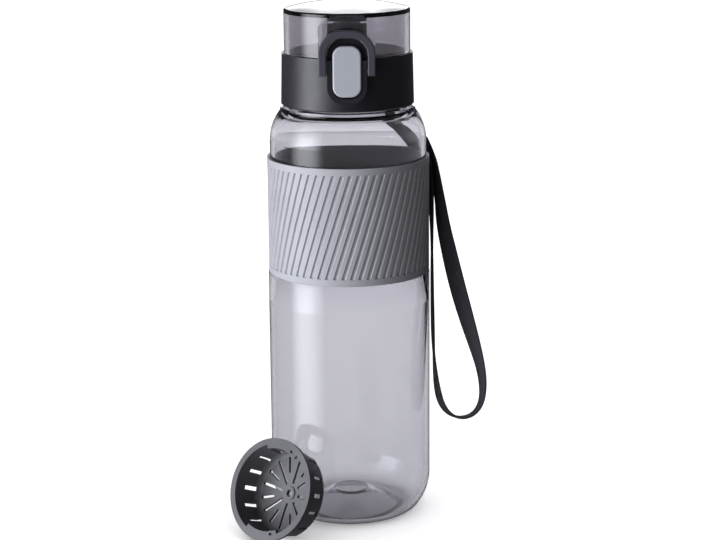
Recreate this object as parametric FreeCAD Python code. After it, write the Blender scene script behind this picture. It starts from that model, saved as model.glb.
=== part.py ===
"""Fruit infuser water bottle: clear bottle, ribbed sleeve, flip-top cap, wrist strap and strainer.

Millimetres. The bottle's axis is Z, its foot stands on z = 0, and the push button faces -Y.
"""
import FreeCAD, Part
import math
import os

V = FreeCAD.Vector
X_AXIS = V(1, 0, 0)
Y_AXIS = V(0, 1, 0)
Z_AXIS = V(0, 0, 1)
ORIGIN = V(0, 0, 0)

# Fits shared by all the pieces
overrun = 2.0            # how far a cutting tool passes its target
seat_gap = 0.05          # between pieces that are assembled and stay put
running_gap = 0.05       # round a pin that turns
free_gap = 0.3           # between pieces that move past each other
same_place = 0.01        # how near two edges count as lying in one plane
halving_share = 0.5

# Bottle
body_radius = 38.0
wall = 2.0
foot_inset = 12.0        # of the ring that the bottle stands on, from the body's side
foot_width = 4.0
corner_radius = 9.0      # lower, tighter arc of the base corner
corner_height = 18.0     # where the base corner meets the straight wall
punt_radius = 8.0        # flat top of the push-up under the base
punt_height = 7.0
punt_wall = 2.5
punt_curve_share = 0.62  # how full the push-up's curve is, outside
floor_curve_share = 0.55  # and inside
recess_depth = 1.6       # of the seat for the sleeve
ledge_run = 12.0         # height of the slope inside, below the sleeve
body_height = 179.4      # where the straight wall ends
shoulder_radius = 22.5
shoulder_rise = 14.2
land_thickness = 1.9     # straight band between the shoulder and the neck
neck_share = 0.6921      # of the body's radius
neck_wall = 2.0
neck_height = 15.9       # of the mouth above the band

# Grip sleeve
sleeve_drop = 7.5        # of its top edge below the shoulder
sleeve_height = 54.1
sleeve_thickness = 1.3
border_height = 3.1      # plain band at the top and at the bottom
groove_depth = 0.75
rib_count = 62
rib_slant_deg = 17.5     # lean of a rib from the upright, to the right as it climbs
rib_crest_share = 0.46   # of the pitch
rib_flank_share = 0.14   # of the pitch, each side
rib_steps = 4

# Cap collar
collar_gap = 0.8         # between the collar and the band under it
thread_room = 1.2        # between the neck and the collar's bore
collar_wall = 3.3
collar_taper = 0.55      # how much slimmer the collar is at its top
collar_chamfer = 0.6

# Neck gasket and deck
gasket_thickness = 1.6
deck_thickness = 7.2
deck_boss_inset = 1.0
deck_boss_height = 1.2   # above the collar's top
pocket_wall = 4.4        # between the spout's spigot and the latch pocket
pocket_room = 1.6        # beside the latch's stem
slot_room = 1.0          # beside the latch's hook
slot_end_room = 1.5      # behind the latch's block

# Drinking spout and its seal
spout_bore_radius = 6.75
spout_radius = 9.15
spout_spigot_radius = 8.0
spout_flange_radius = 11.0
spout_flange_thickness = 1.2
spout_height = 14.9      # above the deck
spout_lip_round = 0.9
seal_radius = 10.65
seal_thickness = 1.5
seal_gap = 0.15
plug_top_radius = 6.3
plug_bottom_radius = 5.2
plug_depth = 2.6

# Flip lid
lid_inset = 1.15         # of the lid's side from the collar's
lid_wall = 2.2
lid_edge_height = 20.0   # from the lid's lower edge to the edge of its top
lid_edge_round = 1.0
lid_dome_rise = 3.5
block_margin = 0.1       # clear block behind the hoop: how much wider it is, each side
block_height = 16.6
block_roof = 0.8
block_corner = 3.2
block_proud = 1.1        # of the lid's side
arm_half_width = 3.7     # upright hinge arm at the rear
arm_proud = 1.9          # of the lid's side
arm_bottom = 2.2         # above the lid's lower edge
arm_rise = 0.6           # above the edge of the lid's top

# Lid hinge, at the rear
hinge_out = 3.35         # of the pin from the collar's side
hinge_rise = 1.3         # above the collar's top
hinge_pin_radius = 1.2
knuckle_radius = 2.9
knuckle_inner = 3.3      # along the pin, from the middle
knuckle_outer = 6.3
knuckle_web_height = 3.5
ear_inner = 6.6
ear_thickness = 3.6
ear_radius = 3.2
ear_root_wall = 1.1      # of the collar inside the ears' roots
ear_web_height = 12.0
ear_top_gap = 0.5        # the ears' webs end this far below the collar's top
hinge_coil_radius = 2.0
hinge_wire_radius = 0.3
hinge_coil_pitch = 1.1
hinge_coil_turns = 4
hinge_leg = 7.0

# Button, its surround and the latch behind it
latch_drop = 5.0         # middle of the button and of its surround, below the collar's top
surround_half_width = 8.9
surround_half_height = 14.6
surround_corner_share = 0.843  # of the half width
surround_rim = 2.15
rim_corner_share = 0.77  # of the half width inside the rim
pad_wall = 1.1           # of the collar behind the surround
housing_depth = 5.3
housing_plate = 1.0
catch_proud = 0.3        # of the clear block
catch_sink = 0.3         # of the arch's back into the lid's wall
catch_recess = 1.1
catch_margin = 0.5       # of the ledge beyond the hook, each side
catch_reach = 1.6
catch_lift = 0.4         # ledge above the lid's lower edge
catch_thickness = 1.5
button_side_gap = 0.35
button_end_gap = 1.0
button_corner_share = 0.734  # of the half width
button_proud = 0.8       # of the surround
button_thickness = 2.3
button_round = 0.8
stem_half_width = 4.0
stem_lift = 1.4          # above the deck's underside
stem_height = 4.4
stem_inset = 2.1         # of the joint between stem and hook, from the collar's bore
slide_length = 4.0
hook_thickness = 2.0
hook_setback = 1.0
nose_height = 1.8
nose_gap = 0.4           # between the hook's nose and the lid's ledge
button_wire_radius = 0.3
button_coil_radius = 1.9
button_coil_pitch = 1.38
coil_samples = 48        # points to a turn, for measuring the gap

# Lock hoop
hoop_gap = 0.4           # beside the surround, and before the lid's arch
hoop_leg_width = 3.4
hoop_depth = 4.0
hoop_clear = 0.35         # between the arch's top and the hoop's bar
hoop_bar = 3.2
hoop_tail = 1.9          # below the pivot
hoop_corner_share = 0.827  # of the half width
hoop_edge_round = 0.5
hoop_pivot_depth = 1.5   # of the pivot before the hoop's back
hoop_pin_radius = 1.0
hoop_pin_sink = 0.7      # how far the pin's outer end lies inside the leg

# Wrist strap
strap_width = 10.0
strap_thickness = 1.3
strap_pin_radius = 1.5
strap_pin_out = 3.9      # beyond the collar's side
strap_pin_rise = 7.2     # above the collar's lower edge
strap_turn_deg = 40.0    # bearing of the strap's lugs, from +Y towards +X
lug_room = 0.6           # beside the strap
lug_thickness = 2.5
arc_share = 0.45         # of the shorter run beside a bend
arc_steps = 4
# Hand-placed route: x, y, z, and the webbing's twist in degrees
tab_route = [
    (22.3, 26.6, 201.1, -50), (22.9, 27.8, 195.6, -50), (24.6, 29.0, 190.0, -52), (27.4, 28.4, 184.4, -54),
    (30.9, 25.9, 179.0, -55), (34.3, 22.3, 173.4, -55)]
loop_route = [
    (33.8, 21.8, 173.5, -55), (36.5, 17.6, 166.4, -46), (38.3, 12.8, 157.6, -32), (39.1, 8.0, 147.2, -15),
    (39.2, 3.2, 134.5, -2), (39.1, -1.4, 118.5, 4), (39.1, -5.6, 101.5, 6), (39.3, -8.8, 85.5, 6),
    (40.0, -10.9, 72.4, 4), (41.0, -11.6, 62.8, 3), (42.8, -12.2, 54.6, 0), (46.6, -12.7, 49.2, -8),
    (52.4, -13.0, 47.1, -15), (58.3, -13.1, 49.0, -10), (61.9, -12.8, 54.2, 2), (62.9, -12.3, 61.6, 12),
    (61.9, -11.2, 71.3, 22), (58.5, -9.4, 83.6, 34), (54.6, -7.0, 96.5, 44), (50.8, -4.2, 110.0, 48),
    (47.3, -0.9, 124.6, 44), (44.3, 2.9, 138.4, 36), (42.3, 7.4, 150.0, 28), (40.7, 12.8, 159.4, 30),
    (38.7, 17.9, 166.8, 42), (34.8, 22.8, 173.3, 55)]

# Strainer
cup_fit = 0.4            # between its rim and the bottle's neck
cup_rim_width = 1.5
cup_rim_thickness = 1.6
cup_draft = 1.0          # how much narrower the base is
cup_depth = 16.4
cup_wall = 1.5
cup_corner = 5.0
cup_slot_count = 16
cup_slot_width = 1.9
cup_slot_top_share = 0.63  # of the depth
cup_slot_inset = 1.9     # how far the side slots reach under the base
floor_slot_width = 1.3
floor_slot_inset = 4.2
floor_slot_long_share = 0.277  # inner end, of the outer
floor_slot_short_share = 0.566
cup_hole_radius = 1.7
cup_ring_radius = 3.0
cup_ring_height = 0.6
tongue_half_angle_deg = 26
tongue_spacing_deg = 187
tongue_width = 4.7
tongue_hole_radius = 0.9
tongue_hole_inset = 3.2
tongue_hole_share = 0.63  # of the half angle, from the tongue's middle
window_half_width = 5.0
cup_roll_deg = 86        # of the two tongues about the cup's own axis
cup_lean_deg = 22.5      # how far the mouth looks up
cup_facing_deg = 41.0    # the mouth's bearing, from -Y towards -X
cup_bearing_deg = 37.5   # where the cup stands, from -Y towards -X

# Places worked out from the sizes above: radii and distances are from the bottle's axis
foot_radius = body_radius - foot_inset
recess_radius = body_radius - recess_depth
land_height = body_height + shoulder_rise
land_top = land_height + land_thickness
mouth_height = land_top + neck_height
neck_radius = body_radius * neck_share
neck_bore_radius = neck_radius - neck_wall
sleeve_top = body_height - sleeve_drop
sleeve_bottom = sleeve_top - sleeve_height
deck_bottom = mouth_height + gasket_thickness
collar_bottom = land_top + collar_gap
collar_top = deck_bottom + deck_thickness
collar_bore_radius = neck_radius + thread_room
collar_bottom_radius = collar_bore_radius + collar_wall
collar_top_radius = collar_bottom_radius - collar_taper
deck_top = collar_top + deck_boss_height
deck_boss_radius = collar_bore_radius - deck_boss_inset
lid_radius = collar_top_radius - lid_inset
lid_bottom = collar_top + free_gap
lid_edge = lid_bottom + lid_edge_height
lid_top = lid_edge + lid_dome_rise
block_front = lid_radius + block_proud
arm_back = lid_radius + arm_proud
hinge_y = collar_top_radius + hinge_out
hinge_height = collar_top + hinge_rise
ear_root = collar_bore_radius + ear_root_wall
ear_outer = ear_inner + ear_thickness
spout_top = deck_top + spout_height
seal_bottom = spout_top + seal_gap
seal_top = seal_bottom + seal_thickness
latch_height = collar_top - latch_drop
surround_corner = surround_half_width * surround_corner_share
rim_half_width = surround_half_width - surround_rim
rim_corner = rim_half_width * rim_corner_share
pad_seat = collar_bore_radius + pad_wall
housing_front = pad_seat + housing_depth
catch_front = block_front + catch_proud
catch_back = lid_radius - lid_wall + catch_sink
catch_floor = catch_front - catch_recess
ledge_bottom = lid_bottom + catch_lift
ledge_top = ledge_bottom + catch_thickness
button_half_width = rim_half_width - button_side_gap
button_half_height = surround_half_height - surround_rim - button_end_gap
button_front = housing_front + button_proud
button_corner = button_half_width * button_corner_share
stem_bottom = deck_bottom + stem_lift
stem_top = stem_bottom + stem_height
stem_middle = stem_bottom + stem_height * halving_share
stem_end = collar_bore_radius - stem_inset
slide_back = stem_end - slide_length
pocket_end = spout_spigot_radius + pocket_wall
hoop_inner = surround_half_width + hoop_gap
hoop_half_width = hoop_inner + hoop_leg_width
hoop_corner = hoop_half_width * hoop_corner_share
hoop_back = catch_front + hoop_gap
hoop_front = hoop_back + hoop_depth
hoop_top = latch_height + surround_half_height + hoop_clear + hoop_bar
hoop_pivot_y = hoop_back + hoop_pivot_depth
block_half_width = hoop_half_width + block_margin
strap_pin_reach = collar_bottom_radius + strap_pin_out
strap_pin_height = collar_bottom + strap_pin_rise
strap_eye_radius = strap_pin_radius + free_gap
lug_inner = strap_width * halving_share + lug_room
lug_outer = lug_inner + lug_thickness
cup_rim_radius = neck_bore_radius - cup_fit
cup_top_radius = cup_rim_radius - cup_rim_width
cup_base_radius = cup_top_radius - cup_draft


def box(x0, x1, y0, y1, z0, z1):
    """Block between two corners."""
    corner = V(min(x0, x1), min(y0, y1), min(z0, z1))
    return Part.makeBox(abs(x1 - x0), abs(y1 - y0), abs(z1 - z0), corner)


def rod_x(radius, x0, x1, y, z):
    """Round bar along X."""
    return Part.makeCylinder(radius, x1 - x0, V(x0, y, z), X_AXIS)


def upright(radius, z0, z1):
    """Round bar about the bottle's axis."""
    return Part.makeCylinder(radius, z1 - z0, V(0, 0, z0))


def turned(steps):
    """Solid of revolution about Z. Each step is a corner (r, z), or a pair (arc's middle, arc's end)."""
    points = [V(r, 0, z) for r, z in (s if not isinstance(s[0], tuple) else s[1] for s in steps)]
    edges = []
    for i, step in enumerate(steps):
        start = points[i - 1]
        if isinstance(step[0], tuple):
            middle = V(step[0][0], 0, step[0][1])
            edges.append(Part.Arc(start, middle, points[i]).toShape())
        else:
            edges.append(Part.LineSegment(start, points[i]).toShape())
    return Part.Face(Part.Wire(edges)).revolve(ORIGIN, Z_AXIS, 360)


def on_circle(centre, radius, degrees):
    """Point (r, z) on a circle in the turning plane."""
    angle = math.radians(degrees)
    return centre[0] + radius * math.cos(angle), centre[1] + radius * math.sin(angle)


def bearing(centre, point):
    return math.degrees(math.atan2(point[1] - centre[1], point[0] - centre[0]))


def halfway(a, b, share=halving_share):
    """Radius midway between a and b, height at a share of the way."""
    return (a[0] + b[0]) * halving_share, a[1] + (b[1] - a[1]) * share


def dome_height(radius, rise, at):
    """Height of a spherical dome above its rim, at a distance from its axis."""
    sphere = (radius ** 2 + rise ** 2) / (rise + rise)
    return rise - sphere + math.sqrt(sphere ** 2 - at ** 2)


def plate(half_width, z0, z1, near, far, lower_corner=0, upper_corner=0):
    """Upright plate across the front, from distance near to distance far, with round corners."""
    body = box(-half_width, half_width, -far, -near, z0, z1)
    corners = [(lower_corner, z0), (upper_corner, z1)]
    for radius, z in corners:
        if radius > 0:
            edges = [e for e in body.Edges
                     if abs(e.BoundBox.ZMin - z) < same_place and abs(e.BoundBox.ZMax - z) < same_place
                     and e.BoundBox.XLength < same_place]
            body = body.makeFillet(radius, edges)
    return body


def base_corner(inset):
    """Two tangent arcs of the base corner, from the foot to the wall, offset inwards."""
    run = body_radius - foot_radius
    rise = corner_height - corner_radius
    side_radius = (run ** 2 + rise ** 2 - corner_radius ** 2) / (2 * (run - corner_radius))
    low = (foot_radius, corner_radius)
    side = (body_radius - side_radius, corner_height)
    joint = bearing(side, low)
    low_arc = (on_circle(low, corner_radius - inset, (joint - 90) * halving_share),
               on_circle(low, corner_radius - inset, joint))
    side_arc = (on_circle(side, side_radius - inset, joint * halving_share),
                (body_radius - inset, corner_height))
    return low_arc, side_arc


def make_bottle():
    low_out, side_out = base_corner(0)
    low_in, side_in = base_corner(wall)
    foot_inner = (foot_radius - foot_width, 0)
    foot_outer = (foot_radius, 0)
    foot_inside = (foot_radius, wall)
    punt_out = (punt_radius, punt_height)
    punt_in = (punt_radius, punt_height + punt_wall)
    centre = (recess_radius - shoulder_radius, body_height)
    land_angle = math.degrees(math.asin(shoulder_rise / shoulder_radius))
    land = on_circle(centre, shoulder_radius, land_angle)
    recess_in = recess_radius - wall
    throat = (neck_bore_radius, land_height)
    narrowing = recess_in - neck_bore_radius
    inner_radius = (narrowing ** 2 + shoulder_rise ** 2) / (narrowing + narrowing)
    inner_centre = (recess_in - inner_radius, body_height)
    throat_angle = bearing(inner_centre, throat)
    body_in = body_radius - wall
    ledge_in = sleeve_bottom - wall
    return turned([
        (0, punt_height),
        punt_out,
        (halfway(punt_out, foot_inner, 1 - punt_curve_share), foot_inner),
        foot_outer,
        low_out,
        side_out,
        (body_radius, sleeve_bottom),
        (recess_radius, sleeve_bottom),
        (recess_radius, body_height),
        (on_circle(centre, shoulder_radius, land_angle * halving_share), land),
        (land[0], land_top),
        (neck_radius, land_top),
        (neck_radius, mouth_height),
        (neck_bore_radius, mouth_height),
        throat,
        (on_circle(inner_centre, inner_radius, throat_angle * halving_share), (recess_in, body_height)),
        (recess_in, ledge_in),
        (body_in, ledge_in - ledge_run),
        side_in[1],
        (side_in[0], low_in[1]),
        (low_in[0], foot_inside),
        (halfway(foot_inside, punt_in, floor_curve_share), punt_in),
        (0, punt_height + punt_wall)])


def make_sleeve():
    inner = recess_radius + seat_gap
    crest = inner + sleeve_thickness
    groove = crest - groove_depth
    pitch = 360 / rib_count
    z0 = sleeve_bottom + border_height
    z1 = sleeve_top - border_height
    twist = math.degrees((z1 - z0) * math.tan(math.radians(rib_slant_deg)) / crest)
    flank = rib_flank_share * pitch
    land = rib_crest_share * pitch
    tooth = [(groove, 0), (crest, flank), (crest, flank + land), (groove, flank + land + flank)]
    corners = [(radius, rib * pitch + offset) for rib in range(rib_count) for radius, offset in tooth]

    def section(step):
        share = step / rib_steps
        points = []
        for radius, degrees in corners:
            angle = math.radians(degrees + twist * share)
            points.append(V(radius * math.cos(angle), radius * math.sin(angle), z0 + (z1 - z0) * share))
        return points

    sections = [section(step) for step in range(rib_steps + 1)]
    faces = [Part.Face(Part.makePolygon(end + end[:1])) for end in (sections[0], sections[-1])]
    for low, high in zip(sections, sections[1:]):
        for i in range(len(low)):
            faces.append(Part.makeRuledSurface(Part.makeLine(low[i - 1], low[i]),
                                               Part.makeLine(high[i - 1], high[i])))
    shell = Part.makeShell(faces)
    shell.sewShape()
    ribs = Part.makeSolid(shell)
    if ribs.Volume < 0:
        ribs.reverse()
    sleeve = ribs.fuse([upright(crest, sleeve_bottom, z0), upright(crest, z1, sleeve_top)])
    return sleeve.cut(upright(inner, sleeve_bottom - overrun, sleeve_top + overrun))


def web(outline, x, thickness):
    """Upright plate standing out from the collar, drawn as (y, z) corners."""
    points = [V(x, y, z) for y, z in outline]
    return Part.Face(Part.makePolygon(points + points[:1])).extrude(V(thickness, 0, 0))


def at_strap(shape):
    """Turned from the rear to the strap's place on the collar."""
    return shape.rotate(ORIGIN, Z_AXIS, -strap_turn_deg)


def strap_rod(radius, half_length):
    """Round bar along the line that the strap's end turns about."""
    return at_strap(rod_x(radius, -half_length, half_length, strap_pin_reach, strap_pin_height))


def make_collar():
    tube = turned([
        (collar_bore_radius, collar_bottom),
        (collar_bottom_radius - collar_chamfer, collar_bottom),
        (collar_bottom_radius, collar_bottom + collar_chamfer),
        (collar_top_radius, collar_top),
        (collar_bore_radius, collar_top)])
    web_top = collar_top - ear_top_gap
    hinge_ear = [(ear_root, web_top - ear_web_height), (hinge_y + ear_radius, hinge_height),
                 (hinge_y - ear_radius, hinge_height), (hinge_y - ear_radius, web_top), (ear_root, web_top)]
    lug_low = strap_pin_height - ear_radius
    lug_high = strap_pin_height + ear_radius
    lug = [(ear_root, lug_low), (strap_pin_reach, lug_low), (strap_pin_reach, lug_high), (ear_root, lug_high)]
    ears = []
    for x in (ear_inner, -ear_outer):
        ears.append(web(hinge_ear, x, ear_thickness))
        ears.append(rod_x(ear_radius, x, x + ear_thickness, hinge_y, hinge_height))
    for x in (lug_inner, -lug_outer):
        ears.append(at_strap(web(lug, x, lug_thickness)))
        ears.append(at_strap(rod_x(ear_radius, x, x + lug_thickness, strap_pin_reach, strap_pin_height)))
    collar = tube.fuse(ears).removeSplitter()
    seat = plate(surround_half_width + seat_gap, latch_height - surround_half_height - seat_gap,
                 collar_top + overrun, pad_seat, housing_front, surround_corner)
    slot = box(-stem_half_width - free_gap, stem_half_width + free_gap, -housing_front,
               -collar_bore_radius + overrun, stem_bottom - free_gap, stem_top + free_gap)
    hinge_reach = ear_outer + overrun
    hinge_hole = rod_x(hinge_pin_radius + seat_gap, -hinge_reach, hinge_reach, hinge_y, hinge_height)
    return collar.cut([seat, slot, hinge_hole, strap_rod(strap_pin_radius + seat_gap, lug_outer + overrun)])


def make_gasket():
    top = deck_bottom
    return upright(collar_bore_radius - free_gap, mouth_height, top).cut(
        upright(neck_bore_radius, mouth_height - overrun, top + overrun))


def make_deck():
    bore = spout_spigot_radius + seat_gap
    rim = collar_bore_radius - seat_gap
    deck = turned([(bore, deck_bottom), (rim, deck_bottom), (rim, collar_top), (deck_boss_radius, collar_top),
                   (deck_boss_radius, deck_top), (bore, deck_top)])
    half = stem_half_width + pocket_room
    outside = -collar_bore_radius - overrun
    pocket = box(-half, half, outside, -pocket_end, stem_bottom - free_gap, stem_top + free_gap)
    half = stem_half_width + slot_room
    slot = box(-half, half, outside, -slide_back + slot_end_room, stem_middle, deck_top + overrun)
    return deck.cut([pocket, slot])


def make_spout():
    flange_top = deck_top + spout_flange_thickness
    lip = spout_lip_round
    middle = ((spout_radius - lip, spout_top - lip), lip)
    return turned([
        (spout_bore_radius, deck_bottom),
        (spout_spigot_radius, deck_bottom),
        (spout_spigot_radius, deck_top),
        (spout_flange_radius, deck_top),
        (spout_flange_radius, flange_top),
        (spout_radius, flange_top),
        (spout_radius, spout_top - lip),
        (on_circle(middle[0], middle[1], 45), (spout_radius - lip, spout_top)),
        (spout_bore_radius, spout_top)])


def make_seal():
    return turned([
        (0, seal_bottom - plug_depth),
        (plug_bottom_radius, seal_bottom - plug_depth),
        (plug_top_radius, seal_bottom),
        (seal_radius, seal_bottom),
        (seal_radius, seal_top),
        (0, seal_top)])


def lid_cavity():
    """Space inside the lid, under its domed top."""
    radius = lid_radius - lid_wall
    edge = lid_edge - lid_wall
    middle = radius * halving_share
    return turned([
        (0, lid_bottom - overrun),
        (radius, lid_bottom - overrun),
        (radius, edge),
        ((middle, edge + dome_height(radius, lid_dome_rise, middle)), (0, edge + lid_dome_rise))])


def make_lid():
    rim = lid_radius - lid_edge_round
    shoulder = (rim, lid_edge - lid_edge_round)
    middle = rim * halving_share
    cup = turned([
        (0, lid_bottom),
        (lid_radius, lid_bottom),
        (lid_radius, lid_edge - lid_edge_round),
        (on_circle(shoulder, lid_edge_round, 45), (rim, lid_edge)),
        ((middle, lid_edge + dome_height(rim, lid_dome_rise, middle)), (0, lid_top))])
    inner = lid_radius - lid_wall
    block = plate(block_half_width, lid_bottom, lid_bottom + block_height, inner * halving_share, block_front,
                  0, block_corner)
    web_bottom = lid_bottom + free_gap
    arm_low = lid_bottom + arm_bottom
    parts = [block, box(-arm_half_width, arm_half_width, inner, arm_back, arm_low, lid_edge + arm_rise)]
    for x in (knuckle_inner, -knuckle_outer):
        end = x + knuckle_outer - knuckle_inner
        parts.append(rod_x(knuckle_radius, x, end, hinge_y, hinge_height))
        parts.append(box(x, end, inner * halving_share, hinge_y, web_bottom, web_bottom + knuckle_web_height))
    lid = cup.fuse(parts).removeSplitter().cut(lid_cavity())
    pocket = box(-surround_half_width - seat_gap, surround_half_width + seat_gap, -block_front + lid_wall,
                 -inner * halving_share, lid_bottom - overrun, lid_bottom + block_height - block_roof)
    boss = upright(spout_radius, seal_top, lid_top - lid_wall * halving_share)
    window = plate(surround_half_width + seat_gap, lid_bottom - overrun,
                   latch_height + surround_half_height + seat_gap, inner * halving_share, housing_front,
                   0, surround_corner)
    reach = knuckle_outer + overrun
    hinge_hole = rod_x(hinge_pin_radius + running_gap, -reach, reach, hinge_y, hinge_height)
    return lid.cut(pocket).fuse(boss).cut([window, hinge_hole])


def make_catch():
    arch_top = latch_height + surround_half_height
    arch = plate(surround_half_width, lid_bottom, arch_top, catch_back, catch_front, 0, surround_corner)
    recess = plate(rim_half_width, lid_bottom - overrun, arch_top - surround_rim - free_gap, catch_floor,
                   catch_front + overrun, 0, rim_corner)
    half = stem_half_width + catch_margin
    ledge = box(-half, half, -catch_back, -catch_back + catch_reach, ledge_bottom, ledge_top)
    return arch.cut(recess).fuse(ledge).removeSplitter()


def make_housing():
    bottom = latch_height - surround_half_height
    frame = plate(surround_half_width, bottom, collar_top, pad_seat, housing_front, surround_corner)
    floor = pad_seat + housing_plate
    recess = plate(rim_half_width, bottom + surround_rim + free_gap, collar_top + overrun, floor,
                   housing_front + overrun, rim_corner)
    hole = box(-stem_half_width - free_gap, stem_half_width + free_gap, -housing_front, -pad_seat + overrun,
               stem_bottom - free_gap, stem_top + free_gap)
    reach = surround_half_width + overrun
    pivot = rod_x(hoop_pin_radius + running_gap, -reach, reach, -hoop_pivot_y, latch_height)
    return frame.cut([recess, hole, pivot])


def make_button():
    bottom = latch_height - button_half_height
    pad = plate(button_half_width, bottom, latch_height + button_half_height,
                button_front - button_thickness, button_front, button_corner, button_corner)
    face = [e for e in pad.Edges if abs(e.BoundBox.YMax + button_front) < same_place]
    pad = pad.makeFillet(button_round, face)
    stem = box(-stem_half_width, stem_half_width, -button_front + button_thickness * halving_share, -stem_end,
               stem_bottom, stem_top)
    return pad.fuse(stem).removeSplitter()


def make_slide():
    block = box(-stem_half_width, stem_half_width, -stem_end, -slide_back, stem_bottom, stem_top)
    front = stem_end - hook_setback
    nose_bottom = ledge_top + nose_gap
    top = nose_bottom + nose_height
    rear = -front + hook_thickness
    arm = box(-stem_half_width, stem_half_width, -front, rear, stem_bottom, top)
    ledge_tip = catch_back - catch_reach
    nose = box(-stem_half_width, stem_half_width, -ledge_tip + nose_gap, rear, nose_bottom, top)
    return block.fuse([arm, nose]).removeSplitter()


def make_hoop():
    tail = latch_height - hoop_tail
    outer = plate(hoop_half_width, tail, hoop_top, hoop_back, hoop_front, 0, hoop_corner)
    inner = plate(hoop_inner, tail - overrun, hoop_top - hoop_bar, hoop_back - overrun,
                  hoop_front + overrun, 0, hoop_corner - hoop_bar)
    hoop = outer.cut(inner)
    front = [e for e in hoop.Edges if abs(e.BoundBox.YMax + hoop_front) < same_place
             and e.Length > hoop_leg_width]
    hoop = hoop.makeFillet(hoop_edge_round, front)
    end = hoop_half_width - hoop_pin_sink
    bore = rod_x(hoop_pin_radius, -end, end, -hoop_pivot_y, latch_height)
    return hoop.cut(bore)


def make_hoop_pins():
    start = rim_half_width + free_gap
    end = hoop_half_width - hoop_pin_sink
    y = -hoop_pivot_y
    pins = [rod_x(hoop_pin_radius, start, end, y, latch_height),
            rod_x(hoop_pin_radius, -end, -start, y, latch_height)]
    return Part.makeCompound(pins)


def bisected(start, direction, end):
    """Middle of the arc that leaves start along direction and arrives at end."""
    chord = end - start
    towards = V(chord).normalize()
    turn = math.acos(max(-1, min(1, direction.dot(towards))))
    along = V(direction + towards).normalize()
    return start + along * (chord.Length * halving_share / math.cos(turn * halving_share))


def biarc(start, leave, end, arrive):
    """Two tangent arcs between two points with given directions."""
    span = end - start
    both = leave + arrive
    spread = 2 * (1 - leave.dot(arrive))
    reach = (-span.dot(both) + math.sqrt(span.dot(both) ** 2 + spread * span.dot(span))) / spread
    joint = (start + end + (leave - arrive) * reach) * halving_share
    back = bisected(end, -arrive, joint)
    return [Part.Arc(start, bisected(start, leave, joint), joint).toShape(),
            Part.Arc(joint, back, end).toShape()]


def coil(start, along, across, radius, pitch, turns, wire_radius, lead_in=None, lead_out=None):
    """Spring wire wound about a line from start, with optional straight legs at its two ends."""
    side = along.cross(across)
    quarters = turns * 4
    slope = pitch / (2 * math.pi)

    def point(k):
        angle = math.pi * k * halving_share
        return start + across * (radius * math.cos(angle)) + side * (radius * math.sin(angle)) \
            + along * (pitch * k / 4)

    def heading(k):
        angle = math.pi * k * halving_share
        round_way = side * (radius * math.cos(angle)) - across * (radius * math.sin(angle))
        return V(round_way + along * slope).normalize()

    edges = []
    if lead_in:
        edges.append(Part.LineSegment(point(0) - heading(0) * lead_in, point(0)).toShape())
    for k in range(quarters):
        edges.extend(biarc(point(k), heading(k), point(k + 1), heading(k + 1)))
    if lead_out:
        last = point(quarters)
        edges.append(Part.LineSegment(last, last + heading(quarters) * lead_out).toShape())
    path = Part.Wire(edges)
    first = path.OrderedEdges[0]
    begin = first.valueAt(first.FirstParameter)
    ring = Part.Wire(Part.makeCircle(wire_radius, begin, first.tangentAt(first.FirstParameter)))
    spots = path.discretize(turns * coil_samples + 1)
    apart = coil_samples * 3 // 4
    least = min((spots[j] - spots[i]).Length for i in range(len(spots)) for j in range(i + apart, len(spots)))
    print("spring least gap to itself", round(least - wire_radius * 2, 2))
    return path.makePipeShell([ring], True, False)


def make_hinge_spring():
    start = V(-hinge_coil_pitch * hinge_coil_turns * halving_share, hinge_y, hinge_height)
    return coil(start, X_AXIS, -Y_AXIS, hinge_coil_radius, hinge_coil_pitch, hinge_coil_turns,
                hinge_wire_radius, hinge_leg, hinge_leg)


def make_button_spring():
    length = slide_back - pocket_end - button_wire_radius * 2 - seat_gap * 2
    start = V(0, -slide_back + button_wire_radius + seat_gap, stem_middle)
    turns = max(1, round(length / button_coil_pitch))
    return coil(start, Y_AXIS, X_AXIS, button_coil_radius, length / turns, turns, button_wire_radius)


def path_points(route, name):
    """Points, headings and twists along straight runs joined by arcs."""
    corners = [V(x, y, z) for x, y, z, twist in route]
    twists = [row[3] for row in route]
    stations = [(corners[0], V(corners[1] - corners[0]).normalize(), twists[0])]
    radii = []
    for i in range(1, len(corners) - 1):
        come = V(corners[i] - corners[i - 1])
        go = V(corners[i + 1] - corners[i])
        trim = arc_share * min(come.Length, go.Length)
        leave = V(come).normalize()
        arrive = V(go).normalize()
        turn = leave.getAngle(arrive)
        radius = trim / math.tan(turn * halving_share)
        radii.append(round(radius, 1))
        begin = corners[i] - leave * trim
        inward = V(arrive - leave * leave.dot(arrive)).normalize()
        for step in range(arc_steps + 1):
            angle = turn * step / arc_steps
            spot = begin + leave * (radius * math.sin(angle)) + inward * (radius * (1 - math.cos(angle)))
            way = leave * math.cos(angle) + inward * math.sin(angle)
            share = step / arc_steps
            near = twists[i] + (twists[i - 1] - twists[i]) * arc_share * (1 - share) ** 2
            stations.append((spot, way, near + (twists[i + 1] - twists[i]) * arc_share * share ** 2))
    stations.append((corners[-1], V(corners[-1] - corners[-2]).normalize(), twists[-1]))
    print(name, "bend radii", radii)
    return stations


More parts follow.
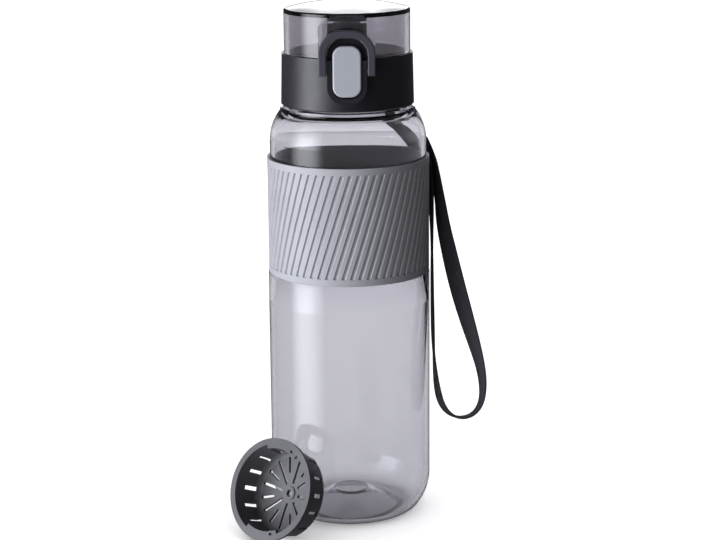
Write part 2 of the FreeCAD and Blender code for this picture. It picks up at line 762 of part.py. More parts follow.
def webbing(route, name, thickness):
    """Flat band along a route, square in section."""
    sections = []
    length = 0
    stations = path_points(route, name)
    for i, (spot, way, twist) in enumerate(stations):
        flat = V(-Y_AXIS + way * way.dot(Y_AXIS)).normalize()
        edge = FreeCAD.Rotation(way, twist).multVec(flat)
        face = way.cross(edge)
        half = edge * (strap_width * halving_share)
        deep = face * (thickness * halving_share)
        ring = [spot + half + deep, spot - half + deep, spot - half - deep, spot + half - deep]
        sections.append(Part.makePolygon(ring + ring[:1]))
        if i:
            length += (spot - stations[i - 1][0]).Length
    band = Part.makeLoft(sections, True, True)
    share = band.Volume / (length * strap_width * thickness)
    print(name, "length", round(length, 1), "volume share", round(share, 3), "valid", band.isValid())
    return band


def make_strap_tab():
    outer = strap_eye_radius + strap_thickness
    half = strap_width * halving_share
    eye = strap_rod(outer, half).cut(strap_rod(strap_eye_radius, half + overrun))
    return eye.fuse(webbing(tab_route, "strap tab", strap_thickness * 2)).removeSplitter()


def make_strap():
    return webbing(loop_route, "wrist strap", strap_thickness)


def make_strainer():
    """Cup on its own axis, base at the origin and mouth upwards, then laid against the bottle."""
    rim_bottom = cup_depth - cup_rim_thickness
    slope = (cup_top_radius - cup_base_radius) / (rim_bottom - cup_corner)
    corner = cup_base_radius - cup_corner
    bend_out = on_circle((corner, cup_corner), cup_corner, -45)
    bend_in = on_circle((corner, cup_corner), cup_corner - cup_wall, -45)
    inner_top = cup_base_radius - cup_wall + slope * (cup_depth - cup_corner)
    cup = turned([
        (0, 0),
        (corner, 0),
        (bend_out, (cup_base_radius, cup_corner)),
        (cup_top_radius, rim_bottom),
        (cup_rim_radius, rim_bottom),
        (cup_rim_radius, cup_depth),
        (inner_top, cup_depth),
        (cup_base_radius - cup_wall, cup_corner),
        (bend_in, (corner, cup_wall)),
        (0, cup_wall)])
    ring = upright(cup_ring_radius, 0, cup_wall + cup_ring_height)
    pitch = 360 / cup_slot_count
    slot_inner = cup_base_radius - cup_slot_inset
    slot_top = cup_depth * cup_slot_top_share
    floor_outer = cup_base_radius - floor_slot_inset
    cuts = [upright(cup_hole_radius, -overrun, cup_depth)]
    tongues = []
    half = cup_slot_width * halving_share
    floor_half = floor_slot_width * halving_share
    for i in range(cup_slot_count):
        angle = i * pitch
        inner = floor_outer * (floor_slot_short_share if i % 2 else floor_slot_long_share)
        spoke = box(inner, floor_outer, -floor_half, floor_half, -overrun, cup_wall + overrun)
        spoke.rotate(ORIGIN, Z_AXIS, angle)
        side = box(slot_inner, cup_rim_radius + overrun, -half, half, -overrun, slot_top)
        side.rotate(ORIGIN, Z_AXIS, angle + pitch * halving_share)
        cuts.extend([spoke, side])
    for turn, hand in ((0, -1), (tongue_spacing_deg, 1)):
        window = box(slot_inner, cup_rim_radius + overrun, -window_half_width, window_half_width,
                     -overrun, rim_bottom)
        window.rotate(ORIGIN, Z_AXIS, turn + hand * tongue_half_angle_deg * halving_share)
        cuts.append(window)
        tongue = Part.makeCylinder(inner_top, cup_rim_thickness, V(0, 0, rim_bottom), Z_AXIS,
                                   tongue_half_angle_deg * 2)
        tongue = tongue.cut(upright(cup_rim_radius - tongue_width, rim_bottom - overrun, cup_depth + overrun))
        tongue.rotate(ORIGIN, Z_AXIS, turn - tongue_half_angle_deg)
        hole_place = V(cup_rim_radius - tongue_hole_inset, 0, cup_wall + overrun)
        hole = Part.makeCylinder(tongue_hole_radius, cup_depth, hole_place)
        hole.rotate(ORIGIN, Z_AXIS, turn + hand * tongue_half_angle_deg * tongue_hole_share)
        tongues.append(tongue.cut(hole))
    cup = cup.fuse(ring).cut(cuts).fuse(tongues).removeSplitter()
    lean = math.radians(cup_lean_deg)
    reach = corner * math.sin(lean) + cup_corner * (1 - math.cos(lean))
    distance = body_radius + free_gap + reach
    height = cup_corner + corner * math.cos(lean) - cup_corner * math.sin(lean)
    stand = math.radians(cup_bearing_deg)
    cup.rotate(ORIGIN, Z_AXIS, cup_roll_deg)
    cup.rotate(ORIGIN, X_AXIS, 90 - cup_lean_deg)
    cup.rotate(ORIGIN, Z_AXIS, -cup_facing_deg)
    cup.translate(V(-distance * math.sin(stand), -distance * math.cos(stand), height))
    return cup


os.makedirs("parts", exist_ok=True)
pieces = {
    "bottle_body": make_bottle(),
    "grip_sleeve": make_sleeve(),
    "neck_gasket": make_gasket(),
    "cap_collar": make_collar(),
    "cap_deck": make_deck(),
    "drinking_spout": make_spout(),
    "latch_housing": make_housing(),
    "hinge_pin": rod_x(hinge_pin_radius, -ear_outer, ear_outer, hinge_y, hinge_height),
    "hinge_spring": make_hinge_spring(),
    "button_spring": make_button_spring(),
    "strap_pin": strap_rod(strap_pin_radius, lug_outer),
    "strap_tab": make_strap_tab(),
    "wrist_strap": make_strap(),
    "flip_lid": make_lid(),
    "lid_catch": make_catch(),
    "spout_seal": make_seal(),
    "push_button": make_button(),
    "latch_slide": make_slide(),
    "lock_hoop": make_hoop(),
    "hoop_pins": make_hoop_pins(),
    "fruit_strainer": make_strainer(),
}
for name, shape in pieces.items():
    shape.exportStep("parts/" + name + ".step")
    print(name, "solids", len(shape.Solids), "valid", shape.isValid(), "volume", round(shape.Volume, 1))
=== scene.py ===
"""Fruit infuser water bottle: materials, strap, stitching, thread, spring, studio and camera."""
import bpy
import bmesh
import math
from mathutils import Matrix, Quaternion, Vector


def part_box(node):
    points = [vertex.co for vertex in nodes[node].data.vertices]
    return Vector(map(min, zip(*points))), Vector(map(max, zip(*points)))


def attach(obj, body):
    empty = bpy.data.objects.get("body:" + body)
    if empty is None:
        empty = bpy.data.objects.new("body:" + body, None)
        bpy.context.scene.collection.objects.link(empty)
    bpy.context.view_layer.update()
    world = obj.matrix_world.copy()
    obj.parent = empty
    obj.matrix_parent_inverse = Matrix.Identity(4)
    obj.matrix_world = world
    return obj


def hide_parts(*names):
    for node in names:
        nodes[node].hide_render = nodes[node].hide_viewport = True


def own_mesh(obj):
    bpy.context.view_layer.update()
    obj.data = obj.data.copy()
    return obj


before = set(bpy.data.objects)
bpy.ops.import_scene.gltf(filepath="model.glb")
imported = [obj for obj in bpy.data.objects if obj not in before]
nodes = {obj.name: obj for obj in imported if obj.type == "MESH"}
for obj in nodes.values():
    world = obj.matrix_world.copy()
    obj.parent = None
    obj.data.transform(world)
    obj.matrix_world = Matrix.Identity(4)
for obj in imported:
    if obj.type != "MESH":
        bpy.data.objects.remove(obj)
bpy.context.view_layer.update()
MM = 0.001
scene = bpy.context.scene
scene.view_settings.view_transform = "Standard"
WHITE = (1.0, 1.0, 1.0, 1.0)


# Node helpers
def shader(name, color, roughness, **sockets):
    """New material with its constants set on the Principled shader's own sockets."""
    made = bpy.data.materials.new(name)
    made.use_nodes = True
    tree = made.node_tree
    base = tree.nodes["Principled BSDF"]
    base.inputs["Base Color"].default_value = (*color, 1.0)
    base.inputs["Roughness"].default_value = roughness
    for socket, value in sockets.items():
        base.inputs[socket.replace("_", " ")].default_value = value
    return made, tree, base


def coordinates(tree, kind="Object"):
    return tree.nodes.new("ShaderNodeTexCoord").outputs[kind]


def stretched(tree, vector, scale):
    node = tree.nodes.new("ShaderNodeMapping")
    node.inputs["Scale"].default_value = scale
    tree.links.new(vector, node.inputs["Vector"])
    return node.outputs["Vector"]


def noise(tree, vector, scale, detail=3.0, roughness=0.5):
    node = tree.nodes.new("ShaderNodeTexNoise")
    node.inputs["Scale"].default_value = scale
    node.inputs["Detail"].default_value = detail
    node.inputs["Roughness"].default_value = roughness
    tree.links.new(vector, node.inputs["Vector"])
    return node.outputs["Fac"]


def ranged(tree, value, low, high, start=0.0, end=1.0):
    """Value brought from start..end to low..high."""
    node = tree.nodes.new("ShaderNodeMapRange")
    node.inputs["From Min"].default_value = start
    node.inputs["From Max"].default_value = end
    node.inputs["To Min"].default_value = low
    node.inputs["To Max"].default_value = high
    tree.links.new(value, node.inputs["Value"])
    return node.outputs["Result"]


def mixed(tree, factor, first, second):
    """Colour between two colours or colour outputs."""
    node = tree.nodes.new("ShaderNodeMix")
    node.data_type = "RGBA"
    factor_socket, first_socket, second_socket, color_output = 0, 6, 7, 2
    for socket, value in ((first_socket, first), (second_socket, second)):
        if isinstance(value, tuple):
            node.inputs[socket].default_value = (*value, 1.0)
        else:
            tree.links.new(value, node.inputs[socket])
    tree.links.new(factor, node.inputs[factor_socket])
    return node.outputs[color_output]


def bumped(tree, base, height, strength, distance):
    node = tree.nodes.new("ShaderNodeBump")
    node.inputs["Strength"].default_value = strength
    node.inputs["Distance"].default_value = distance
    tree.links.new(height, node.inputs["Height"])
    tree.links.new(node.outputs["Normal"], base.inputs["Normal"])


def sums(tree, operation, first, second=0.0):
    """Math node over numbers or outputs."""
    node = tree.nodes.new("ShaderNodeMath")
    node.operation = operation
    for socket, value in zip(node.inputs, (first, second)):
        if isinstance(value, (int, float)):
            socket.default_value = value
        else:
            tree.links.new(value, socket)
    return node.outputs["Value"]


def clear_plastic(name, color, ior, lowest, highest):
    """Transparent moulded plastic with slight waviness and faint handling haze."""
    made, tree, base = shader(name, color, lowest, Transmission_Weight=1.0, IOR=ior)
    place = coordinates(tree)
    haze = noise(tree, stretched(tree, place, (1.0, 1.0, 0.35)), 38.0, detail=4.0, roughness=0.6)
    rough = ranged(tree, haze, lowest, highest, start=0.35, end=0.8)
    tree.links.new(rough, base.inputs["Roughness"])
    wave = noise(tree, stretched(tree, place, (1.0, 1.0, 0.25)), 26.0, detail=1.0)
    bumped(tree, base, wave, strength=0.035, distance=0.004)
    return made


def moulded(name, dark, light, roughness, grain=2600.0, bump=0.12, **sockets):
    """Satin moulded plastic: cloudy tone, spark-eroded grain and uneven sheen."""
    made, tree, base = shader(name, light, roughness, **sockets)
    place = coordinates(tree)
    cloud = ranged(tree, noise(tree, place, 55.0), 0.0, 1.0, start=0.3, end=0.7)
    tree.links.new(mixed(tree, cloud, dark, light), base.inputs["Base Color"])
    sheen = ranged(tree, noise(tree, place, 140.0), roughness - 0.06, roughness + 0.08)
    tree.links.new(sheen, base.inputs["Roughness"])
    pits = noise(tree, place, grain, detail=2.0, roughness=0.6)
    bumped(tree, base, pits, bump, distance=0.0002)
    return made


def drawn_steel(name):
    """Steel with fine drawing streaks."""
    made, tree, base = shader(name, (0.55, 0.55, 0.57), 0.28, Metallic=1.0)
    place = coordinates(tree)
    streak = noise(tree, stretched(tree, place, (180.0, 2400.0, 2400.0)), 1.0, detail=4.0)
    tone = mixed(tree, streak, (0.42, 0.42, 0.44), (0.66, 0.66, 0.68))
    tree.links.new(tone, base.inputs["Base Color"])
    tree.links.new(ranged(tree, streak, 0.2, 0.42), base.inputs["Roughness"])
    return made


def woven(name, dark, light, rib, thread):
    """Narrow webbing: ribs of this length along the tape, threads of this width across it, with painted
    shade in the weave's grooves.
    """
    made, tree, base = shader(name, light, 0.72, Specular_IOR_Level=0.15)
    split = tree.nodes.new("ShaderNodeSeparateXYZ")
    tree.links.new(coordinates(tree, "UV"), split.inputs[0])
    along = sums(tree, "SINE", sums(tree, "MULTIPLY", split.outputs["X"], 2 * math.pi / rib))
    across = sums(tree, "SINE", sums(tree, "MULTIPLY", split.outputs["Y"], 2 * math.pi / thread))
    weave = ranged(tree, sums(tree, "MULTIPLY", along, across), 0.0, 1.0, start=-1.0, end=1.0)
    fuzz = noise(tree, coordinates(tree), 3200.0)
    height = sums(tree, "ADD", weave, sums(tree, "MULTIPLY", fuzz, 0.5))
    # Painted shade: the colour follows the weave's height, darker in its grooves than on its ridges, with
    # random fuzz mixed in
    tone = mixed(tree, ranged(tree, height, 0.0, 1.0, start=0.3, end=1.1), dark, light)
    tree.links.new(tone, base.inputs["Base Color"])
    tree.links.new(ranged(tree, fuzz, 0.6, 0.85), base.inputs["Roughness"])
    bumped(tree, base, height, strength=0.6, distance=0.0003)
    return made


# Materials, one for each kind of surface
PLASTIC_IOR = 1.46
bottle_clear = clear_plastic("bottle_clear", (0.75, 0.748, 0.775), PLASTIC_IOR, 0.01, 0.05)
depth_tint = bottle_clear.node_tree.nodes.new("ShaderNodeVolumeAbsorption")
depth_tint.inputs["Color"].default_value = (0.30, 0.30, 0.37, 1.0)
depth_tint.inputs["Density"].default_value = 90.0
bottle_output = bottle_clear.node_tree.nodes["Material Output"]
bottle_clear.node_tree.links.new(depth_tint.outputs["Volume"], bottle_output.inputs["Volume"])
thread_clear = clear_plastic("thread_clear", (0.8, 0.8, 0.82), PLASTIC_IOR, 0.01, 0.05)
lid_smoke = clear_plastic("lid_smoke", (0.42, 0.405, 0.44), PLASTIC_IOR, 0.012, 0.05)
sleeve_grey = moulded("sleeve_grey", (0.365, 0.37, 0.402), (0.41, 0.415, 0.448), 0.55,
                      grain=1500.0, bump=0.2)
silicone = moulded("silicone", (0.20, 0.20, 0.215), (0.25, 0.25, 0.27), 0.5)
cap_black = moulded("cap_black", (0.010, 0.009, 0.014), (0.014, 0.013, 0.019), 0.42,
                    Specular_IOR_Level=0.6)
deck_dark = moulded("deck_dark", (0.010, 0.010, 0.013), (0.015, 0.015, 0.019), 0.45)
hoop_dark = moulded("hoop_dark", (0.05, 0.048, 0.063), (0.063, 0.061, 0.078), 0.48)
button_grey = moulded("button_grey", (0.43, 0.445, 0.49), (0.465, 0.48, 0.525), 0.46)
strainer_grey = moulded("strainer_grey", (0.095, 0.095, 0.103), (0.126, 0.126, 0.137), 0.46,
                        Specular_IOR_Level=0.3)
spring_steel = drawn_steel("spring_steel")
webbing_black = woven("webbing_black", (0.024, 0.023, 0.029), (0.068, 0.066, 0.078),
                      rib=0.0011, thread=0.0013)
thread_black = woven("thread_black", (0.006, 0.006, 0.008), (0.02, 0.02, 0.024),
                     rib=0.0004, thread=0.0004)

finish_of = {
    bottle_clear: ["bottle_body"],
    lid_smoke: ["flip_lid"],
    sleeve_grey: ["grip_sleeve"],
    silicone: ["neck_gasket", "spout_seal"],
    cap_black: ["cap_collar", "latch_housing", "lid_catch", "latch_slide"],
    deck_dark: ["cap_deck", "drinking_spout"],
    hoop_dark: ["lock_hoop"],
    button_grey: ["push_button"],
    strainer_grey: ["fruit_strainer"],
    spring_steel: ["hinge_pin", "hinge_spring", "button_spring", "strap_pin", "hoop_pins"],
    webbing_black: ["strap_tab", "wrist_strap"],
}
for finish, names in finish_of.items():
    for name in names:
        nodes[name].data.materials.clear()
        nodes[name].data.materials.append(finish)


# Mesh helpers
def new_mesh(name, bm):
    mesh = bpy.data.meshes.new(name)
    bm.to_mesh(mesh)
    bm.free()
    return mesh


def piece(name, mesh, finish, body):
    """Smooth-shaded object in the scene, riding on a body."""
    made = bpy.data.objects.new(name, mesh)
    scene.collection.objects.link(made)
    mesh.materials.append(finish)
    for face in mesh.polygons:
        face.use_smooth = True
    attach(made, body)
    return made


def read_spline(rows):
    """Points along a NURBS spline that has these rows as its control points."""
    curve = bpy.data.curves.new("route", "CURVE")
    curve.dimensions = "3D"
    curve.resolution_u = 14
    spline = curve.splines.new("NURBS")
    spline.points.add(len(rows) - 1)
    for point, row in zip(spline.points, rows):
        point.co = (*row, 1.0)
    spline.order_u = 3
    spline.use_endpoint_u = True
    line = bpy.data.objects.new("route", curve)
    scene.collection.objects.link(line)
    bpy.context.view_layer.update()
    shaped = line.evaluated_get(bpy.context.evaluated_depsgraph_get())
    mesh = bpy.data.meshes.new_from_object(shaped)
    spots = [v.co.copy() for v in mesh.vertices]
    bpy.data.objects.remove(line)
    bpy.data.curves.remove(curve)
    bpy.data.meshes.remove(mesh)
    return spots


def followed(route):
    """Spots along a route, and the webbing's twist at each, from rows of x, y, z (mm) and degrees."""
    spots = read_spline([(x * MM, y * MM, z * MM) for x, y, z, _ in route])
    twists = read_spline([(twist * MM, i * MM, 0.0) for i, (_, _, _, twist) in enumerate(route)])
    return spots, [math.radians(t.x / MM) for t in twists]


def tape_section(width, thickness):
    """Outline of a flat tape with soft edges: (across, through) pairs."""
    edge_steps, edge_share = 4, 0.9
    half, deep = width / 2, thickness / 2
    outline = []
    for side in (1, -1):
        for step in range(edge_steps + 1):
            angle = math.pi * (step / edge_steps - 0.5) * side
            across = (side * (half - deep * edge_share)
                      + side * deep * edge_share * math.cos(angle))
            outline.append((across, deep * math.sin(angle)))
    return outline


def lay_of(spots, twists, i):
    """Directions along, across and through the tape at a spot."""
    way = (spots[min(i + 1, len(spots) - 1)] - spots[max(i - 1, 0)]).normalized()
    flat = (Vector((0, -1, 0)) + way * way.y).normalized()
    edge = Quaternion(way, twists[i]) @ flat
    return way, edge, way.cross(edge)


def skin(bm, uv, rings, runs, outline, closed):
    """Faces between rings of points, with the weave's coordinates in metres."""
    count = len(outline)
    for i in range(len(rings) if closed else len(rings) - 1):
        j = (i + 1) % len(rings)
        for k in range(count):
            n = (k + 1) % count
            face = bm.faces.new((rings[i][k], rings[i][n], rings[j][n], rings[j][k]))
            for corner, (r, s) in zip(face.loops, ((i, k), (i, n), (i + 1, n), (i + 1, k))):
                corner[uv].uv = (runs[r], outline[s][0])


def tape(bm, uv, spots, twists, width, thickness):
    """Sweeps a tape's section along the spots, closing both ends."""
    outline = tape_section(width, thickness)
    rings, run, runs = [], 0.0, []
    for i, spot in enumerate(spots):
        _, edge, deep = lay_of(spots, twists, i)
        rings.append([bm.verts.new(spot + edge * a + deep * t) for a, t in outline])
        run += (spot - spots[max(i - 1, 0)]).length
        runs.append(run)
    skin(bm, uv, rings, runs, outline, False)
    bm.faces.new(list(reversed(rings[0])))
    bm.faces.new(rings[-1])


# Wrist strap: listed routes, x, y, z in millimetres and twist in degrees
tab_route = [
    (22.3, 26.6, 201.1, -50), (22.9, 27.8, 195.6, -50), (24.6, 29.0, 190.0, -52), (27.4, 28.4, 184.4, -54),
    (30.9, 25.9, 179.0, -55), (34.3, 22.3, 173.4, -55)]
loop_route = [
    (33.8, 21.8, 173.5, -55), (36.5, 17.6, 166.4, -38), (38.3, 12.8, 157.6, -19), (39.1, 8.0, 147.2, -7),
    (39.2, 3.2, 134.5, 0), (39.1, -1.4, 118.5, 4), (39.1, -5.6, 101.5, 6), (39.3, -8.8, 85.5, 6),
    (40.0, -10.9, 72.4, -3), (41.0, -11.6, 62.8, -12), (42.8, -12.2, 54.6, -17), (46.6, -12.7, 49.2, -17),
    (52.4, -13.0, 47.1, -15), (58.3, -13.1, 49.0, -10), (61.9, -12.8, 54.2, 2), (62.9, -12.3, 61.6, 12),
    (61.9, -11.2, 71.3, 22), (58.5, -9.4, 83.6, 34), (54.6, -7.0, 96.5, 44), (50.8, -4.2, 110.0, 48),
    (47.3, -0.9, 124.6, 44), (44.3, 2.9, 138.4, 36), (42.9, 7.2, 150.4, 23), (41.2, 12.6, 159.4, 25),
    (38.7, 17.9, 166.8, 42), (34.8, 22.8, 173.3, 55)]
STRAP_WIDTH, STRAP_THICKNESS = 0.010, 0.0013
PIN_REACH, PIN_HEIGHT, PIN_TURN = 0.0347, 0.2035, math.radians(40.0)
EYE_RADIUS, EYE_STEPS = 0.0018, 28

loop_spots, loop_twists = followed(loop_route)
bm = bmesh.new()
uv = bm.loops.layers.uv.new("weave")
tape(bm, uv, loop_spots, loop_twists, STRAP_WIDTH, STRAP_THICKNESS)
loop = piece("strap_loop", new_mesh("strap_loop", bm), webbing_black, "cap")
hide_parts("wrist_strap")

tab_spots, tab_twists = followed(tab_route)
bm = bmesh.new()
uv = bm.loops.layers.uv.new("weave")
tape(bm, uv, tab_spots, tab_twists, STRAP_WIDTH, STRAP_THICKNESS * 2)
eye_middle = EYE_RADIUS + STRAP_THICKNESS / 2
section = tape_section(STRAP_WIDTH, STRAP_THICKNESS)
pin_way = Vector((math.cos(PIN_TURN), -math.sin(PIN_TURN), 0))
outwards = Vector((math.sin(PIN_TURN), math.cos(PIN_TURN), 0))
eye, eye_runs = [], [2 * math.pi * eye_middle * i / EYE_STEPS for i in range(EYE_STEPS + 1)]
for i in range(EYE_STEPS):
    angle = 2 * math.pi * i / EYE_STEPS
    ring = []
    for across, through in section:
        out = PIN_REACH + (eye_middle + through) * math.cos(angle)
        up = PIN_HEIGHT + (eye_middle + through) * math.sin(angle)
        ring.append(bm.verts.new(outwards * out + pin_way * across + Vector((0, 0, up))))
    eye.append(ring)
skin(bm, uv, eye, eye_runs, section, True)
bmesh.ops.recalc_face_normals(bm, faces=bm.faces)
tab = piece("strap_eye_tab", new_mesh("strap_eye_tab", bm), webbing_black, "cap")
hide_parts("strap_tab")

# Stitching: a box of short stitches where the tab holds the loop's two ends
STITCH_LENGTH, STITCH_RADIUS, STITCH_INSET = 0.0011, 0.00022, 0.0014
SEAM_LENGTH, SEAM_STITCHES, ROW_STITCHES = 0.0075, 5, 4


def stitch(bm, place, along, through):
    """One stitch: a long bead that lies half in the webbing."""
    across = through.cross(along)
    turn = Matrix((along, across, through)).transposed().to_4x4()
    size = Matrix.Diagonal((STITCH_LENGTH / 2, STITCH_RADIUS, STITCH_RADIUS, 1.0))
    bmesh.ops.create_uvsphere(bm, u_segments=8, v_segments=6, radius=1.0,
                              matrix=Matrix.Translation(place) @ turn @ size)


def nearest(spots, distance):
    """Index of the spot this far before the end."""
    left = [0.0]
    for i in range(len(spots) - 1, 0, -1):
        left.append(left[-1] + (spots[i] - spots[i - 1]).length)
    return len(spots) - 1 - min(range(len(left)), key=lambda k: abs(left[k] - distance))


bm = bmesh.new()
bm.loops.layers.uv.new("weave")
side = STRAP_WIDTH / 2 - STITCH_INSET
for step in range(SEAM_STITCHES):
    i = nearest(tab_spots, STITCH_INSET + SEAM_LENGTH * step / (SEAM_STITCHES - 1))
    way, edge, deep = lay_of(tab_spots, tab_twists, i)
    surface = tab_spots[i] - deep * STRAP_THICKNESS
    for offset in (-side, side):
        stitch(bm, surface + edge * offset, way, deep)
    if step in (0, SEAM_STITCHES - 1):
        for k in range(1, ROW_STITCHES):
            stitch(bm, surface + edge * side * (2 * k / ROW_STITCHES - 1), edge, deep)
stitches = piece("tab_stitches", new_mesh("tab_stitches", bm), thread_black, "cap")

# Neck thread: one ridge wound round the neck under the collar
NECK_RADIUS, PITCH_UP, THREAD_TURNS, THREAD_START = 0.0263, 0.004, 2.4, 0.1988
RIDGE, ROOT, CREST_HALF, ROOT_HALF = 0.0008, -0.0001, 0.0005, 0.0011
STEPS_A_TURN, END_HEIGHT, END_SLOPE = 64, 0.08, 12
bm = bmesh.new()
steps = int(THREAD_TURNS * STEPS_A_TURN)
flank = [(ROOT, -ROOT_HALF), (RIDGE, -CREST_HALF), (RIDGE, CREST_HALF), (ROOT, ROOT_HALF)]
rings = []
for i in range(steps + 1):
    angle = 2 * math.pi * THREAD_TURNS * i / steps
    fade = min(1.0, END_HEIGHT + END_SLOPE * min(i, steps - i) / steps)
    height = THREAD_START + PITCH_UP * THREAD_TURNS * i / steps
    ring = []
    for out, up in flank:
        radius = NECK_RADIUS + out * fade
        spot = (radius * math.cos(angle), radius * math.sin(angle), height + up)
        ring.append(bm.verts.new(spot))
    rings.append(ring)
for low, high in zip(rings, rings[1:]):
    for k in range(len(flank)):
        n = (k + 1) % len(flank)
        bm.faces.new((low[k], high[k], high[n], low[n]))
bm.faces.new(rings[0])
bm.faces.new(list(reversed(rings[-1])))
bmesh.ops.recalc_face_normals(bm, faces=bm.faces)
piece("neck_thread", new_mesh("neck_thread", bm), thread_clear, "bottle")

# Button spring: a coil of wire filling the CAD spring's box
COIL_RADIUS, WIRE_RADIUS, BUTTON_TRAVEL = 0.0019, 0.0003, 0.0016
COIL_TURNS, TURN_STEPS, WIRE_SIDES = 6, 32, 10
coil_low, coil_high = (Vector(corner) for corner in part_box("button_spring"))
coil_length = coil_high.y - coil_low.y
coil_rise = coil_length - 2 * WIRE_RADIUS
coil_steps = COIL_TURNS * TURN_STEPS
slope = coil_rise / (2 * math.pi * COIL_TURNS * COIL_RADIUS)
around = [2 * math.pi * k / WIRE_SIDES for k in range(WIRE_SIDES)]
bm = bmesh.new()
rings = []
for i in range(coil_steps + 1):
    angle = 2 * math.pi * i / TURN_STEPS
    outward = Vector((math.cos(angle), 0, -math.sin(angle)))
    way = Vector((-math.sin(angle), slope, -math.cos(angle))).normalized()
    upward = way.cross(outward)
    middle = Vector((0, coil_low.y + WIRE_RADIUS + coil_rise * i / coil_steps,
                     (coil_low.z + coil_high.z) / 2))
    spot = outward * COIL_RADIUS + middle
    rings.append([bm.verts.new(spot + (outward * math.cos(a) + upward * math.sin(a)) * WIRE_RADIUS)
                  for a in around])
for low, high in zip(rings, rings[1:]):
    for k in range(WIRE_SIDES):
        n = (k + 1) % WIRE_SIDES
        bm.faces.new((low[k], low[n], high[n], high[k]))
bm.faces.new(list(reversed(rings[0])))
bm.faces.new(rings[-1])
bmesh.ops.recalc_face_normals(bm, faces=bm.faces)
spring = piece("button_coil", new_mesh("button_coil", bm), spring_steel, "cap")
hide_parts("button_spring")
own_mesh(spring)

# CAD nodes are shaded smooth, apart from edges sharper than this
SHARP_EDGE = math.radians(35)
for node in nodes.values():
    node.data.shade_smooth()
    node.data.set_sharp_from_angle(angle=SHARP_EDGE)

# Studio: a pale floor, and a white room seen behind and through the bottle
FLOOR_REACH, ROOM_RADIUS = 9.0, 8.55


def backdrop(name, mesh, finish):
    """Object seen by the camera and through the bottle, that lights and shades nothing."""
    made = bpy.data.objects.new(name, mesh)
    scene.collection.objects.link(made)
    mesh.materials.append(finish)
    finish.cycles.emission_sampling = "NONE"
    made.visible_diffuse = made.visible_glossy = made.visible_shadow = False
    return made


paper, paper_tree, paper_base = shader("paper", (0.86, 0.86, 0.87), 0.7,
                                       Emission_Color=WHITE, Emission_Strength=0.22)
paper_cloud = noise(paper_tree, coordinates(paper_tree), 6.0)
paper_tone = mixed(paper_tree, paper_cloud, (0.85, 0.85, 0.86), (0.88, 0.88, 0.885))
paper_tree.links.new(paper_tone, paper_base.inputs["Base Color"])
floor_mesh = bpy.data.meshes.new("floor")
corners = [(x * FLOOR_REACH, y * FLOOR_REACH, 0) for x, y in ((-1, -1), (1, -1), (1, 1), (-1, 1))]
floor_mesh.from_pydata(corners, [], [(0, 1, 2, 3)])
floor = backdrop("floor", floor_mesh, paper)

glow, _, _ = shader("glow", (0.0, 0.0, 0.0), 1.0, Emission_Color=WHITE, Emission_Strength=1.68)
bm = bmesh.new()
bmesh.ops.create_uvsphere(bm, u_segments=48, v_segments=24, radius=ROOM_RADIUS)
room = backdrop("room", new_mesh("room", bm), glow)

world = bpy.data.worlds.new("studio")
scene.world = world
world.use_nodes = True
ambient = world.node_tree.nodes["Background"]
ambient.inputs["Color"].default_value = (0.94, 0.92, 1.0, 1.0)
ambient.inputs["Strength"].default_value = 0.09


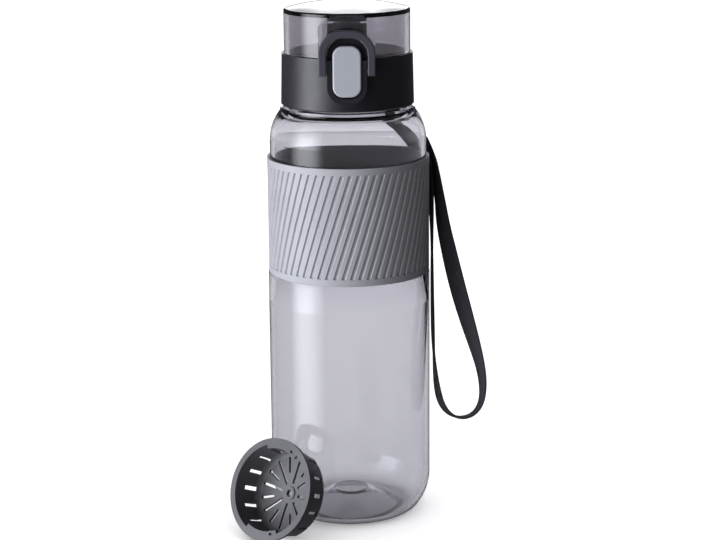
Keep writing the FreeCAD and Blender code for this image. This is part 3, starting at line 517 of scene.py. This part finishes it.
def softbox(name, place, aim, width, height, power, edge=0.0):
    """Area light that fades out at each side over this share of its width and height."""
    light = bpy.data.lights.new(name, "AREA")
    light.shape = "RECTANGLE"
    light.size, light.size_y, light.energy = width, height, power
    if edge:
        light.use_nodes = True
        tree = light.node_tree
        split = tree.nodes.new("ShaderNodeSeparateXYZ")
        panel = tree.nodes.new("ShaderNodeNewGeometry").outputs["Parametric"]
        tree.links.new(panel, split.inputs[0])
        fades = []
        for axis in ("X", "Y"):
            off_middle = sums(tree, "ABSOLUTE", sums(tree, "SUBTRACT", split.outputs[axis], 0.5))
            fade = ranged(tree, off_middle, 1.0, 0.0, start=0.5 - edge, end=0.5)
            fade.node.interpolation_type = "SMOOTHSTEP"
            fades.append(fade)
        tree.links.new(sums(tree, "MULTIPLY", *fades), tree.nodes["Emission"].inputs["Strength"])
    made = bpy.data.objects.new(name, light)
    made.location = place
    made.rotation_euler = (Vector(aim) - Vector(place)).to_track_quat("-Z", "Y").to_euler()
    scene.collection.objects.link(made)
    return made


def shines_on(light, state):
    """Lets a light reach only the floor, or all but the floor."""
    group = bpy.data.collections.new(light.name)
    group.objects.link(floor)
    group.collection_objects[0].light_linking.link_state = state
    light.light_linking.receiver_collection = group


MIDDLE = (0, 0, 0.14)
key = softbox("key", (-1.069, -0.533, 0.14), MIDDLE, width=1.42, height=2.4, power=79, edge=0.45)
key.data.color = (0.93, 0.95, 1.0)
back = softbox("back", (0.0, 3.6, 2.0), (0, 0, 2.0), width=1.1, height=4.0, power=53, edge=0.3)
back.visible_transmission = False
fill = softbox("fill", (-0.6, -1.5, -0.15), MIDDLE, width=1.2, height=0.5, power=14, edge=0.3)
fill.visible_transmission = fill.visible_glossy = False
rear = softbox("rear", (0.65, 1.13, 0.5), MIDDLE, width=1.0, height=1.4, power=15, edge=0.4)
rear.visible_transmission = rear.visible_glossy = False
overhead = softbox("overhead", (0.0, 0.0, 4.0), (0, 0, 0), width=14.0, height=14.0, power=930)
for light in (key, back, fill, rear):
    shines_on(light, "EXCLUDE")
shines_on(overhead, "INCLUDE")
for light in (key, back, fill, rear, overhead):
    light.visible_camera = False

# Camera: its focal length was fitted in pixels of a picture this wide
CAMERA_PLACE, PITCH, ROLL = Vector((0.00417, -0.9, 0.3305)), 13.36, -0.47
FOCAL_PIXELS, PICTURE_PIXELS, SENSOR_WIDTH = 1958.0, 716.0, 36.0
lens = bpy.data.cameras.new("camera")
lens.sensor_fit, lens.sensor_width = "HORIZONTAL", SENSOR_WIDTH
lens.lens = FOCAL_PIXELS * SENSOR_WIDTH / PICTURE_PIXELS
camera = bpy.data.objects.new("camera", lens)
scene.collection.objects.link(camera)
camera.matrix_world = (Matrix.Translation(CAMERA_PLACE)
                       @ Matrix.Rotation(math.radians(90 - PITCH), 4, "X")
                       @ Matrix.Rotation(math.radians(ROLL), 4, "Z"))
scene.camera = camera
